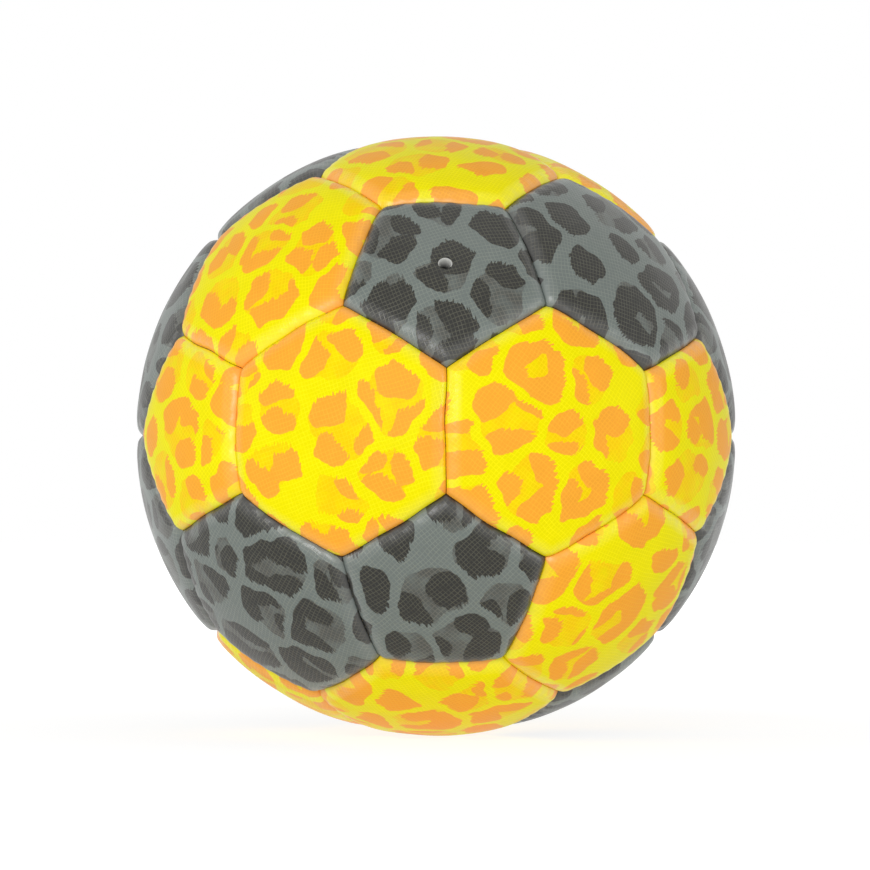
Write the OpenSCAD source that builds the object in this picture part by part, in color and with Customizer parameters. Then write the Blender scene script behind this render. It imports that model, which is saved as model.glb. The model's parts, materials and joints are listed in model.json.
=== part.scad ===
// Handball: 32 stitched panels over foam, fabric backing and a bladder, with a removable valve core.
// All lengths are millimetres. The origin is the ball's centre, +Z is up and -Y is the front.

/* [Ball] */
// Circumference over the crowns of the panels
circumference = 510; // [480:1:600]
// Depth of the small flat that the soft ball makes where it rests
rest_sag = 0.25; // [0.2:0.05:0.4]

/* [Panels] */
// Thickness of the synthetic leather
skin_t = 1.3; // [1.2:0.1:1.6]
// Thickness of the edge that is turned in at each seam
flange_t = 1.2; // [1:0.1:1.4]
// How far the turned-in edge reaches below the ball's surface
flange_depth = 3.6; // [3.2:0.1:4]
// Open gap between the walls of two neighbouring panels
seam_gap = 0.3; // [0.2:0.05:0.4]
// Distance from the seam over which a panel's edge rolls off
roll_width = 2.8; // [2.4:0.1:3.4]
// Depth to which the edge rolls off at the seam
roll_depth = 1.3; // [1:0.1:1.5]

/* [Layers] */
// Glue line between one curved layer and the next
glue_gap = 0.3; // [0.3:0.05:0.5]
// Thickness of the foam pads
foam_t = 2.2; // [2:0.1:3]
// Thickness of the fabric backing
backing_t = 1; // [0.8:0.1:1.4]
// Thickness of the bladder's wall
bladder_t = 1; // [0.8:0.1:1.4]
// Thickness of the stitching cord
cord_d = 1; // [0.8:0.1:1.1]

/* [Valve] */
// Thickness of the removable core
core_d = 3.7; // [3.5:0.1:4.5]
// Clearance around the core, in the panel's hole and in the boot
core_clear = 0.2; // [0.2:0.05:0.3]
// Length of the core
core_length = 15.8; // [14:0.1:18]
// Width of the oil grooves around the core
groove_w = 1; // [0.6:0.1:1.5]
// Depth of the oil grooves
groove_deep = 0.25; // [0.15:0.05:0.35]
// Depth of the core's mouth below the surface of its panel
core_sink = 0.55; // [0.2:0.05:0.7]
// Rim left around the core's funnel
funnel_rim = 0.2; // [0.15:0.05:0.3]
// Depth of the funnel that leads the needle in
funnel_depth = 3.4; // [1:0.1:4]
// Thickness of the inflating needle
needle_d = 1.96; // [1.8:0.01:2]
// Clearance around the needle in the core
needle_clear = 0.02; // [0.01:0.01:0.05]
// Depth of the needle's hole below the funnel
needle_depth = 7.5; // [6:0.5:9]
// Thickness of the boot's neck, between panel and bladder
neck_d = 10; // [9:0.1:12]
// Thickness of the boot's barrel, inside the bladder
barrel_d = 8.4; // [8:0.1:9]
// Wall at the closed end of the barrel
barrel_end = 2; // [1.5:0.1:3]
// Air hole in the closed end of the barrel
air_hole_d = 1.6; // [1.2:0.1:2]
// Diameter of the boot's flange
flange_d = 24; // [20:0.5:28]
// Thickness of the boot's flange
boot_flange_t = 1.2; // [1:0.1:1.6]
// Outer diameter of the reinforcing ring around the valve
ring_d = 20; // [18:0.5:24]
// Thickness of the reinforcing ring
ring_t = 0.6; // [0.5:0.1:0.8]
// Diameter of the balance patch opposite the valve
patch_d = 22; // [18:0.5:26]
// Thickness of the balance patch
patch_t = 2.4; // [1.5:0.1:3]

/* [Hidden] */
phi = (1 + sqrt(5)) / 2;
fine = 96;
ball_r = circumference / (2 * PI);
// distance from the ball's centre to the middle of a seam, for seams one unit long
mid_share = 3 * phi / 2;
// tilt of a seam's plane from the centre line of the pentagon or hexagon beside it
pent_tilt = asin(1 / (2 * tan(36)) / mid_share);
hex_tilt = asin(sqrt(3) / 2 / mid_share);
wall_inset = seam_gap / 2;
pad_inset = wall_inset + flange_t + glue_gap;
cavity_r = ball_r - skin_t;
foam_r = cavity_r - glue_gap;
backing_r = foam_r - foam_t - glue_gap;
bladder_r = backing_r - backing_t - glue_gap;
bladder_in_r = bladder_r - bladder_t;
flange_r = ball_r - flange_depth;
cord_r = flange_r - glue_gap - cord_d / 2;
// half the length of a seam, and the end of its cord short of the corner, as angles at the ball's centre
seam_half_angle = asin(1 / 2 / mid_share);
cord_end_share = 1.4;
cord_end_angle = asin(cord_end_share * cord_d / cord_r);
hole_d = core_d + 2 * core_clear;
neck_hole_d = neck_d + 2 * glue_gap;
neck_top = sqrt(pow(cavity_r, 2) - pow(neck_d / 2, 2)) - glue_gap;
core_top = ball_r - core_sink;
core_bottom = core_top - core_length;
// where the oil grooves lie, from the core's inner end
groove_shares = [0.2, 0.45];
seat_z = core_bottom - core_clear;
barrel_bottom = seat_z - barrel_end;
boot_r = bladder_in_r - glue_gap;
patch_r = bladder_in_r - glue_gap;
rest_z = -(ball_r - rest_sag);
big = 2 * ball_r;

yellow = [0.96, 0.87, 0.05];
grey = [0.48, 0.51, 0.5];
foam_colour = [0.93, 0.9, 0.82];
fabric_colour = [0.8, 0.8, 0.78];
rubber_colour = [0.2, 0.2, 0.2];
cord_colour = [0.3, 0.3, 0.28];
core_colour = [0.82, 0.82, 0.8];

// pentagon centres: the twelve corners of an icosahedron, two units from one corner to the next
pent_dirs = [
    [0, -phi, 1], [0, -phi, -1], [-phi, -1, 0], [phi, -1, 0],
    [-1, 0, phi], [1, 0, phi], [-1, 0, -phi], [1, 0, -phi],
    [0, phi, 1], [0, phi, -1], [-phi, 1, 0], [phi, 1, 0]
];
function side_by_side(a, b) = norm(pent_dirs[a] - pent_dirs[b]) < 3;
// each hexagon lies between three neighbouring pentagons
hex_trios = [
    for (a = [0:9], b = [a + 1:10], c = [b + 1:11])
        if (side_by_side(a, b) && side_by_side(b, c) && side_by_side(a, c)) [a, b, c]
];
// a seam between two hexagons runs from one pentagon to the next
hex_seams = [for (a = [0:10], b = [a + 1:11]) if (side_by_side(a, b)) [a, b]];
// which panels have the grey print, in the order of the nodes
pent_is_grey = [true, true, false, false, true, false, false, true, true, true, false, false];
hex_is_grey = [
    false, false, false, true, false, true, false, false, true, true,
    true, true, false, false, true, false, true, false, false, false
];
// the pentagon with the valve, and the two hexagons that the ball rests on
valve_pent = 0;
rest_hexes = [7, 15];

// which node to draw

function unit(v) = v / norm(v);
function hex_dir(i) = pent_dirs[hex_trios[i][0]] + pent_dirs[hex_trios[i][1]] + pent_dirs[hex_trios[i][2]];
// the first hexagon beside a pentagon
function hex_beside(i) =
    [for (k = [0:19]) if (len(search(i, hex_trios[k])) > 0) k][0];

// turns the local -X axis to the direction c, with the local +Z side towards t
module aim(c, t) {
    d = -unit(c);
    az = atan2(d[1], d[0]);
    el = asin(d[2]);
    ey = [-sin(az), cos(az), 0];
    ez = [-sin(el) * cos(az), -sin(el) * sin(az), cos(el)];
    rotate([0, 0, az]) rotate([0, -el, 0]) rotate([atan2(-t * ey, t * ez), 0, 0]) children();
}

module at_pent(i) { aim(pent_dirs[i], hex_dir(hex_beside(i))) children(); }
module at_hex(i) { aim(hex_dir(i), pent_dirs[hex_trios[i][0]]) children(); }
// the valve's place, with the local +Z axis outward
module at_valve() { at_pent(valve_pent) rotate([0, -90, 0]) children(); }

// puts its children on the plane of side k, with +Z across the seam
module on_side(k, sides, tilt) {
    rotate([k * 360 / sides, 0, 0]) rotate([0, tilt, 0]) children();
}

// everything beyond one side of a panel: a flat wall, then the edge's roll-off
module beyond_side() {
    over = roll_depth / 3;
    rotate_extrude($fn = fine)
        polygon([
            [0, -wall_inset],
            [ball_r - roll_depth, -wall_inset],
            [ball_r + over, -roll_width - over * (roll_width - wall_inset) / roll_depth],
            [big, -roll_width - over * (roll_width - wall_inset) / roll_depth],
            [big, ball_r],
            [0, ball_r]
        ]);
}

// the half of a sphere around a panel's centre line
module half_ball(r) {
    difference() {
        sphere(r = r, $fn = fine);
        translate([-ball_r / 3, -big, -big]) cube(2 * big);
    }
}

// a plain wedge of the ball, its walls a fixed distance inside the seams
module wedge(r, inset, sides, tilt) {
    difference() {
        half_ball(r);
        for (k = [0:sides - 1])
            on_side(k, sides, tilt) translate([-big, -big, -inset]) cube(2 * big);
    }
}

// one panel's leather, with rolled and turned-in edges and room for its foam
module cover(sides, tilt) {
    difference() {
        half_ball(ball_r);
        for (k = [0:sides - 1]) on_side(k, sides, tilt) beyond_side();
        wedge(cavity_r, wall_inset + flange_t, sides, tilt);
        sphere(r = flange_r, $fn = fine);
    }
}

// one curved pad of a given thickness
module pad(r, t, sides, tilt) {
    difference() {
        wedge(r, pad_inset, sides, tilt);
        sphere(r = r - t, $fn = fine);
    }
}

// a curved disc, ring or cap around the valve's axis
module cap(r, t, d) {
    difference() {
        intersection() {
            sphere(r = r, $fn = fine);
            cylinder(h = ball_r, d = d, $fn = fine);
        }
        sphere(r = r - t, $fn = fine);
    }
}

module pent_panel(i) {
    color(pent_is_grey[i] ? grey : yellow)
        if (i == valve_pent) difference() {
            at_pent(i) cover(5, pent_tilt);
            at_valve() cylinder(h = big, d = hole_d, $fn = fine);
        }
        else at_pent(i) cover(5, pent_tilt);
}

module hex_panel(i) {
    color(hex_is_grey[i] ? grey : yellow)
        if (len(search(i, rest_hexes)) > 0) difference() {
            at_hex(i) cover(6, hex_tilt);
            rest_cut();
        }
        else at_hex(i) cover(6, hex_tilt);
}

// the flat that the ball rests on
module rest_cut() { translate([-big, -big, rest_z - 2 * big]) cube(2 * big); }

module foam_pentagons() {
    color(foam_colour)
        for (i = [0:11])
            if (i == valve_pent) difference() {
                at_pent(i) pad(foam_r, foam_t, 5, pent_tilt);
                at_valve() cylinder(h = big, d = neck_hole_d, $fn = fine);
                at_valve() cap(ball_r, ball_r - foam_r + ring_t + glue_gap, ring_d + 2 * glue_gap);
            }
            else at_pent(i) pad(foam_r, foam_t, 5, pent_tilt);
}

module foam_hexagons() {
    color(foam_colour)
        for (i = [0:19]) at_hex(i) pad(foam_r, foam_t, 6, hex_tilt);
}

module backing_pentagons() {
    color(fabric_colour)
        for (i = [0:11])
            if (i == valve_pent) difference() {
                at_pent(i) pad(backing_r, backing_t, 5, pent_tilt);
                at_valve() cylinder(h = big, d = neck_hole_d, $fn = fine);
            }
            else at_pent(i) pad(backing_r, backing_t, 5, pent_tilt);
}

module backing_hexagons() {
    color(fabric_colour)
        for (i = [0:19]) at_hex(i) pad(backing_r, backing_t, 6, hex_tilt);
}

// one length of cord under a seam, centred on the local -X axis
module cord() {
    half = seam_half_angle - cord_end_angle;
    rotate([0, 0, 180 - half])
        rotate_extrude(angle = 2 * half, $fn = fine)
            translate([cord_r, 0]) circle(d = cord_d, $fn = 24);
}

module seam_cord() {
    color(cord_colour) {
        for (i = [0:11], k = [0:4]) at_pent(i) on_side(k, 5, pent_tilt) cord();
        for (s = hex_seams)
            aim(pent_dirs[s[0]] + pent_dirs[s[1]], cross(pent_dirs[s[0]], pent_dirs[s[1]])) cord();
    }
}

module bladder() {
    color(rubber_colour)
        difference() {
            sphere(r = bladder_r, $fn = fine);
            sphere(r = bladder_in_r, $fn = fine);
            at_valve() cylinder(h = big, d = neck_hole_d, $fn = fine);
        }
}

module valve_boot() {
    color(rubber_colour)
        at_valve() difference() {
            union() {
                cap(boot_r, boot_flange_t, flange_d);
                translate([0, 0, boot_r - 2 * boot_flange_t])
                    cylinder(h = neck_top - boot_r + 2 * boot_flange_t, d = neck_d, $fn = fine);
                translate([0, 0, barrel_bottom])
                    cylinder(h = boot_r - barrel_bottom - boot_flange_t, d = barrel_d, $fn = fine);
            }
            translate([0, 0, seat_z]) cylinder(h = ball_r, d = hole_d, $fn = fine);
            translate([0, 0, barrel_bottom - barrel_end]) cylinder(h = ball_r / 2, d = air_hole_d, $fn = fine);
        }
}

// the ring that one oil groove takes out of the core
module oil_groove() {
    difference() {
        cylinder(h = groove_w, d = 2 * core_d, $fn = fine);
        translate([0, 0, -groove_w])
            cylinder(h = 3 * groove_w, d = core_d - 2 * groove_deep, $fn = fine);
    }
}

module valve_core() {
    bore_r = needle_d / 2 + needle_clear;
    color(core_colour)
        at_valve() difference() {
            translate([0, 0, core_bottom]) cylinder(h = core_length, d = core_d, $fn = fine);
            translate([0, 0, core_top - funnel_depth - needle_depth])
                cylinder(h = core_length, r = bore_r, $fn = fine);
            translate([0, 0, core_top - funnel_depth])
                cylinder(h = funnel_depth, r1 = bore_r, r2 = core_d / 2 - funnel_rim, $fn = fine);
            for (share = groove_shares)
                translate([0, 0, core_bottom + share * core_length]) oil_groove();
        }
}

module valve_ring() {
    color(fabric_colour)
        at_valve() difference() {
            cap(foam_r, ring_t, ring_d);
            cylinder(h = big, d = neck_hole_d, $fn = fine);
        }
}

module balance_patch() {
    color(rubber_colour)
        at_valve() mirror([0, 0, 1]) cap(patch_r, patch_t, patch_d);
}

pent_panel(0);  // pent_01
pent_panel(1);  // pent_02
pent_panel(2);  // pent_03
pent_panel(3);  // pent_04
pent_panel(4);  // pent_05
pent_panel(5);  // pent_06
pent_panel(6);  // pent_07
pent_panel(7);  // pent_08
pent_panel(8);  // pent_09
pent_panel(9);  // pent_10
pent_panel(10);  // pent_11
pent_panel(11);  // pent_12
hex_panel(0);  // hex_01
hex_panel(1);  // hex_02
hex_panel(2);  // hex_03
hex_panel(3);  // hex_04
hex_panel(4);  // hex_05
hex_panel(5);  // hex_06
hex_panel(6);  // hex_07
hex_panel(7);  // hex_08
hex_panel(8);  // hex_09
hex_panel(9);  // hex_10
hex_panel(10);  // hex_11
hex_panel(11);  // hex_12
hex_panel(12);  // hex_13
hex_panel(13);  // hex_14
hex_panel(14);  // hex_15
hex_panel(15);  // hex_16
hex_panel(16);  // hex_17
hex_panel(17);  // hex_18
hex_panel(18);  // hex_19
hex_panel(19);  // hex_20
foam_pentagons();
foam_hexagons();
backing_pentagons();
backing_hexagons();
seam_cord();
bladder();
valve_boot();
valve_core();
valve_ring();
balance_patch();
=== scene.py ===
import json
import math
from functools import partial
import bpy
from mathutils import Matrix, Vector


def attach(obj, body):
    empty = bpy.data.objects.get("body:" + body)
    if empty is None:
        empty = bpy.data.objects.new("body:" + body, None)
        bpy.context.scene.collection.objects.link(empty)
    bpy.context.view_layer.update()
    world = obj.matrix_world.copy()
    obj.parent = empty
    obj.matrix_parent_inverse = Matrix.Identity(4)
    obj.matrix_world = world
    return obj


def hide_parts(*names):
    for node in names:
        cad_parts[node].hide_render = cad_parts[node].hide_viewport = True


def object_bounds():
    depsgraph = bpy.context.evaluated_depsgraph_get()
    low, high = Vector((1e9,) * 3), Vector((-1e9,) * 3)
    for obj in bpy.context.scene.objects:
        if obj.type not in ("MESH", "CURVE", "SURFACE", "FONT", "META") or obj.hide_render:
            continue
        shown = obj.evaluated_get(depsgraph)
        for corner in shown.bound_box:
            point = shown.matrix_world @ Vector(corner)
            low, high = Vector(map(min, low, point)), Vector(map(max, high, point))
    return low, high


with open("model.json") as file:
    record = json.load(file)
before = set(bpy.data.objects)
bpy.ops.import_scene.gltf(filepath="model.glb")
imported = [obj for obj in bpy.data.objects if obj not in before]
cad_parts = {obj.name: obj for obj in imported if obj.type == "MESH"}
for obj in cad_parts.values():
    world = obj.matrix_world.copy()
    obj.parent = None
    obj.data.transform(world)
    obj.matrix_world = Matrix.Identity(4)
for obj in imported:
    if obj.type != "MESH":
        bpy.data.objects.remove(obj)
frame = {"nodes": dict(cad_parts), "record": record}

from types import SimpleNamespace

import bpy
import numpy as np
from bpy.props import FloatProperty, FloatVectorProperty, IntProperty, PointerProperty
from mathutils import Matrix, Vector

CAD_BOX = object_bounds()

bl_info = {
    "name": "Handball",
    "version": (1, 0, 0),
    "blender": (4, 5, 0),
    "location": "View3D > Sidebar > Handball",
    "description": "A stitched handball with puffed panels, spotted print and a removable valve core",
    "category": "Object",
}

MM = 0.001  # the surfaces are worked out in millimetres, Blender's objects are in metres
GOLDEN = (1 + math.sqrt(5)) / 2

# Pentagon centres, the twelve corners of an icosahedron, in the order of the nodes pent_01 to pent_12
PENT_DIRS = np.array([
    (0, -GOLDEN, 1), (0, -GOLDEN, -1), (-GOLDEN, -1, 0), (GOLDEN, -1, 0),
    (-1, 0, GOLDEN), (1, 0, GOLDEN), (-1, 0, -GOLDEN), (1, 0, -GOLDEN),
    (0, GOLDEN, 1), (0, GOLDEN, -1), (-GOLDEN, 1, 0), (GOLDEN, 1, 0),
])
COUNTS = {"pent": 12, "hex": 20}
VALVE_PENT = 0
REST_HEXES = (7, 15)
NEAR_PENTS = 3  # neighbouring pentagons' directions end 2 apart, and the next ones 3.2
TURN = 2 * math.pi

# Meshes, with distances in millimetres
ROLL_RINGS = (4.2, 3.4, 2.7, 2.1, 1.6, 1.2, 0.85, 0.55, 0.3, 0.12, 0)  # on a rolled edge, from the seam
RING_STEP = 0.8  # from one ring to the next in the middle of a panel
WALL_SHARES = (0.25, 0.55, 0.8, 1.0)  # rings down the turned-in edge of a panel, as shares of its depth
INNER_RINGS, PAD_RINGS = 9, 18  # on a panel's inner side, and on each side of a pad
BEND_POINTS, ARC_POINTS = 9, 90  # round an edge, and along a large arc or the core
RING_POINTS, RING_BEND = 12, 7  # across the cloth ring, and round its edge
LEATHER_AROUND, PAD_AROUND = 36, 16  # points along each side of a panel
BLADDER_AROUND, RING_AROUND, CORE_AROUND = 120, 96, 72
THIN_SKIN = 0.25  # the leather's least thickness, where it is stretched over a corner
PUCKER_WIDTH, PARTING_WIDTH = 1.1, 0.8  # over which a dimple and the bladder's parting line fade
WANDER_FADE = 5  # distance from a seam over which its straying fades
STEP_SOFT, STEP_LIMIT = 0.15, 30  # width of the step round the cloth ring, and its steepest exponent
CLOTH_MM = 100  # millimetres of leather to one unit of the UV map

# Noise and seeds
WAVES, WAVE_SPREAD, WAVE_SCALE = 14, (0.7, 1.4), 5
WANDER_SEEDS, PAD_SEED, CUT_SEED, HEX_SEED, SEED_STEP = (901, 902, 903), 77, 500, 40, 100

# Rosettes of the print: a few dark lobes, each an oval cut by straight strokes, round a toned middle.
# A pair in brackets is the least and the most of a random draw. Sizes and distances are shares of the
# spacing for a rosette, and of the rosette's size for a lobe.
LOBES, STROKES = 4, 7
ROSETTE_PUSH = 0.23  # how far a rosette is pushed off its place in the lattice
SIZE, SIZE_MORE = 0.41, 0.2  # the smallest rosette, and how much more the largest has
SIZE_BONUS = 85  # square millimetres by which the largest rosettes reach further than the smallest
NUMBER, NUMBER_MORE, NUMBER_CHANCE = 1.2, 2.3, 1.3  # lobes: the least, more in a large one, and by chance
OVAL, LOBE_OVAL = (1.0, 1.5), (1.0, 1.9)  # square of length to width, for a rosette and a lobe
LOBE_SHIFT, LOBE_GAP = 0.16, 0.7  # unevenness round the middle, and the widest opening, in lobes
LOBE_OUT, LOBE_OUT_MORE, LOBE_OUT_CHANCE = 0.6, 0.1, (0.9, 1.15)  # distance from the middle
LOBE_HALF, LOBE_HALF_LESS, LOBE_HALF_CHANCE = 0.6, 0.06, (0.8, 1.2)  # half the width
LONE_HALF = 0.84  # half the width of a lobe that is the only one
STROKE_SHIFT, STROKE_CHANCE = 0.3, (0.84, 1.14)
MIDDLE_HALF, MIDDLE_CHANCE, MIDDLE_STROKES = 0.95, (0.85, 1.1), (0.8, 1.2)
WAVY, WAVY_LENGTH = 0.7, 7  # the outlines' waviness, in millimetres
SOFT_STROKE, SOFT_LOBE, SOFT_MIDDLE, SOFT_CELL, SOFT_EDGE = 0.55, 0.4, 0.6, 0.9, 0.35  # in millimetres
PRINT_REACH = 48  # from a panel's middle past its corners, in millimetres
FAR = 20.0  # a distance, in millimetres, that is never reached
HAIR_STEP = 0.5  # how far ahead, in millimetres, the print is looked at to find its ragged side

# Valve core, cord and stitches
# the last is how fast the funnel's painted shade deepens towards the needle's hole
FUNNEL_POINTS, FUNNEL_POWER, FUNNEL_SHADE_POWER = 14, 1.7, 1.3
FOOT_POINTS, FLOOR_RING = 5, 0.6  # round the core's inner edge, and a ring on the needle hole's floor
GROOVES_AT = (0.2, 0.45)  # as shares of the core's length, from its inner end
PLY = 0.7  # the cord's least radius, between its plies, as a share of the largest
STITCH_SLANT = math.radians(52)
STITCH_POINT, STITCH_SAG = 0.9, 0.35  # how far its ends thin out, and sink, in millimetres

MIX_A, MIX_B, MIX_OUT = 6, 7, 2  # the colour sockets of a Mix node
BUMP, IOR = 0.6, 1.5  # of every surface
RIDGE_SLOPE, RIDGE_START = 7, -2.5  # make thin ridges of a zigzag wave
EDGE_SHARP = 6  # of the print: from ink to ground over a sixth of a millimetre
GRAIN_TURN, FINE_SHARE = math.radians(28), 0.06  # the grain's way, and the fine unevenness on its height
RUBBER_GRIT = 0.3  # mould texture of rubber, in millimetres


def side_by_side(a, b):
    """True for two pentagons that have one seam between hexagons between them."""
    return np.linalg.norm(PENT_DIRS[a] - PENT_DIRS[b]) < NEAR_PENTS


# Each hexagon lies between three neighbouring pentagons, in the order of the nodes hex_01 to hex_20
PENTS = range(COUNTS["pent"])
HEX_TRIOS = [
    (a, b, c)
    for a in PENTS for b in PENTS[a + 1:] for c in PENTS[b + 1:]
    if side_by_side(a, b) and side_by_side(b, c) and side_by_side(a, c)
]
HEX_SEAMS = [(a, b) for a in PENTS for b in PENTS[a + 1:] if side_by_side(a, b)]
MID_SHARE = 3 * GOLDEN / 2  # the ball's centre to the middle of a seam, for seams one unit long
PENT_TILT = math.asin(1 / (2 * math.tan(math.radians(36))) / MID_SHARE)
HEX_TILT = math.asin(math.sqrt(3) / 2 / MID_SHARE)
SEAM_HALF = math.asin(1 / 2 / MID_SHARE)

SLOT_OF = {s["node"]: s["material_slot"] for s in frame["record"]["subparts"]}


def linear(code):
    """An sRGB hex colour, such as "F3EA00", as linear red, green, blue and alpha."""
    srgb = np.array([int(code[i:i + 2], 16) for i in (0, 2, 4)]) / 255
    return (*np.where(srgb <= 0.04045, srgb / 12.92, ((srgb + 0.055) / 1.055) ** 2.4), 1.0)


def colour(name, code, about):
    """A colour that the user can change, with its sRGB hex default."""
    return FloatVectorProperty(name=name, description=about, subtype="COLOR", size=4, min=0, max=1,
                               default=linear(code))


def length(name, default, about, low=0.0):
    """A length that the user can change; its default and lowest value are given in millimetres."""
    return FloatProperty(name=name, description=about, default=default * MM, min=low * MM,
                         unit="LENGTH", subtype="DISTANCE", precision=5)


def share(name, default, about):
    """A share from 0 to 1 that the user can change."""
    return FloatProperty(name=name, description=about, default=default, min=0, max=1, subtype="FACTOR")


def pixels(name, default, about):
    """A place or size in the photograph, in pixels."""
    return FloatProperty(name=name, description=about, default=default, min=0, subtype="PIXEL")


def degrees(name, default, about):
    """An angle that the user can change; its default is given in degrees."""
    return FloatProperty(name=name, description=about, default=math.radians(default), subtype="ANGLE")


def watts(name, default, about):
    """A lamp's power, in watts, that the user can change."""
    return FloatProperty(name=name, description=about, default=default, min=0, unit="POWER", subtype="POWER")


class HandballPanelSizes(bpy.types.PropertyGroup):
    """Sizes of the leather panels."""
    bevel_reach: length("Bevel reach", 2.8, "Distance from a seam at which the frame's bevel ends")
    seam_gap: length("Seam gap", 0.16, "Open gap between the walls of neighbouring panels")
    roll_drop: length("Roll drop", 1.85, "How far a panel's edge drops at the seam")
    roll_reach: length("Roll reach", 1.45, "Distance from the seam over which the edge rolls off")
    crown: length("Crown", 0.2, "How far a panel's middle stands above its rim")
    wander: length("Seam wander", 0.22, "How far the hand-sewn seams stray from their straight course")
    wander_wave: length("Wander length", 14, "Distance from one stray of a seam to the next", 1)
    pucker: length("Pucker", 0.12, "Depth of the dimples that the stitches pull into the edge")
    pucker_at: length("Pucker place", 1.6, "Distance of the dimples from the seam")
    stitch_pitch: length("Stitch pitch", 4.2, "Distance from one stitch to the next", 1)
    waviness: length("Waviness", 0.07, "Height of the soft unevenness of a stuffed panel")
    wave: length("Wave length", 17, "Distance from one soft bump of a panel to the next", 1)
    skin: length("Skin", 1.3, "Thickness of the synthetic leather")
    turned_in: length("Turned-in edge", 1.2, "Thickness of the edge that is turned in at a seam")
    edge_depth: length("Edge depth", 3.6, "How far the turned-in edge reaches below the surface")
    hole_lip: length("Hole lip", 0.1, "How far the leather bends in around the valve's hole", 0.02)
    valve_hole: length("Valve hole", 1.88, "Radius of the hole for the valve")


class HandballPrintSizes(bpy.types.PropertyGroup):
    """Sizes and colours of the spotted print and its embossed grain."""
    spacing: length("Spot spacing", 17, "Mean distance from one rosette to the next", 5)
    channel: length("Channel", 2.3, "Least width of the ground colour between two rosettes")
    fray: length("Fray", 0.7, "Length of the hairs at the ragged side of a spot")
    hair: length("Hair", 0.55, "Width of one hair", 0.1)
    grain_along: length("Grain along", 1.1, "Distance between the grain's ridges one way", 0.2)
    grain_across: length("Grain across", 0.95, "Distance between the grain's ridges the other way", 0.2)
    yellow_ground: colour("Yellow ground", "F4E900", "Ground colour of the yellow print")
    yellow_spot: colour("Orange spot", "FCAC36", "Spots of the yellow print")
    yellow_tone: colour("Yellow tone", "FAD20A", "Middles of the yellow print's rosettes")
    grey_ground: colour("Grey ground", "6E7672", "Ground colour of the grey print")
    grey_spot: colour("Dark spot", "2F2F2C", "Spots of the grey print")
    grey_tone: colour("Grey tone", "51524E", "Middles of the grey print's rosettes")
    yellow_gloss: share("Yellow gloss", 0.04, "Shine of the yellow print's top coat")
    grey_gloss: share("Grey gloss", 0.26, "Shine of the grey print's top coat")
    edge_gloss: share("Edge gloss", 0.6, "Further shine where the leather is stretched over its rolled edge")
    roughness: share("Roughness", 0.33, "Roughness of the print's top coat")
    # painted highlight: the ridges' paler colours and their shares paint the glint of light on the grain's
    # ridges
    yellow_ridge: colour("Yellow ridges", "FFF45A", "Paler colour that the yellow leather's ridges take on")
    grey_ridge: colour("Grey ridges", "FFFBD2", "Paler colour that the grey leather's ridges take on")
    yellow_lift: share("Yellow ridges' share", 0.07, "How much paler the ridges of the yellow leather look")
    grey_lift: share("Grey ridges' share", 0.065, "How much paler the ridges of the grey leather look")
    seed: IntProperty(name="Seed", description="Layout of the spots", default=7, min=0)


class HandballInnerSizes(bpy.types.PropertyGroup):
    """Sizes of the layers inside the ball, of the stitching and of the valve."""
    glue_gap: length("Glue gap", 0.3, "Glue line between one curved layer and the next")
    foam: length("Foam", 2.2, "Thickness of the foam pads")
    foam_wave: length("Foam unevenness", 0.05, "Height of the foam's soft unevenness")
    backing: length("Backing", 1.0, "Thickness of the laminated backing cloth")
    bladder: length("Bladder", 1.0, "Thickness of the bladder's wall")
    parting: length("Parting line", 0.12, "Height of the moulded line round the bladder")
    ring_d: length("Valve ring", 20, "Outer diameter of the cloth ring around the valve")
    ring: length("Ring thickness", 0.6, "Thickness of the cloth ring")
    neck_d: length("Neck", 10, "Thickness of the valve boot's neck")
    core_d: length("Core", 3.7, "Thickness of the valve's core")
    core_length: length("Core length", 15.8, "Length of the core")
    core_sink: length("Core sink", 0.55, "Depth of the core's mouth below the panel's surface")
    funnel_rim: length("Funnel rim", 0.2, "Rim around the mouth's funnel")
    funnel_depth: length("Funnel depth", 3.4, "Depth of the funnel that leads the needle in")
    needle_hole: length("Needle hole", 1.0, "Radius of the needle's hole")
    needle_depth: length("Needle depth", 7.5, "Depth of the needle's hole below the funnel")
    groove_w: length("Groove width", 1.0, "Width of the oil grooves around the core")
    groove_deep: length("Groove depth", 0.25, "Depth of the oil grooves")
    cord_d: length("Cord", 1.0, "Thickness of the two-ply stitching cord")
    cord_lay: length("Cord lay", 4.2, "Length over which the cord's plies turn once", 1)
    cord_end: length("Cord end", 1.4, "Where a cord ends before the corner of its seam")
    stitch_d: length("Stitch", 0.4, "Thickness of a stitch's thread")
    stitch_length: length("Stitch length", 1.3, "Length of a stitch where it crosses a seam")
    stitch_end: length("Last stitch", 3.4, "Where the stitches end before the corner of a seam")
    stitch_sink: length("Stitch depth", 2.2, "Depth of the stitches below the ball's surface")


class HandballStageSizes(bpy.types.PropertyGroup):
    """The camera, from where the ball stands in the photograph, the floor and the lamps."""
    frame_px: pixels("Frame", 870, "Width and height of the picture")
    ball_px: pixels("Ball radius", 300.2, "Radius of the ball in the picture")
    centre_x_px: pixels("Centre across", 436.1, "The ball's centre from the picture's left")
    centre_y_px: pixels("Centre down", 436.0, "The ball's centre from the picture's top")
    distance: length("Distance", 981, "From the camera to the ball's centre", 200)
    turn: degrees("Turn", 1.8, "Camera's turn about the upright axis")
    lift: degrees("Lift", -0.98, "Camera's height angle, below the centre if negative")
    roll: degrees("Roll", -0.18, "Camera's turn about its line of sight")
    key_power: watts("Key lamp", 5.3, "Power of the large lamp beside the camera")
    top_power: watts("Top lamp", 1.1, "Power of the lamp overhead")
    fill_power: watts("Fill lamps", 2.2, "Power of each of the other lamps")
    sky: share("Sky", 0.42, "Strength of the even light from all around")
    table: share("Light table", 0.3, "How far the white floor glows, as a light table does")


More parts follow.
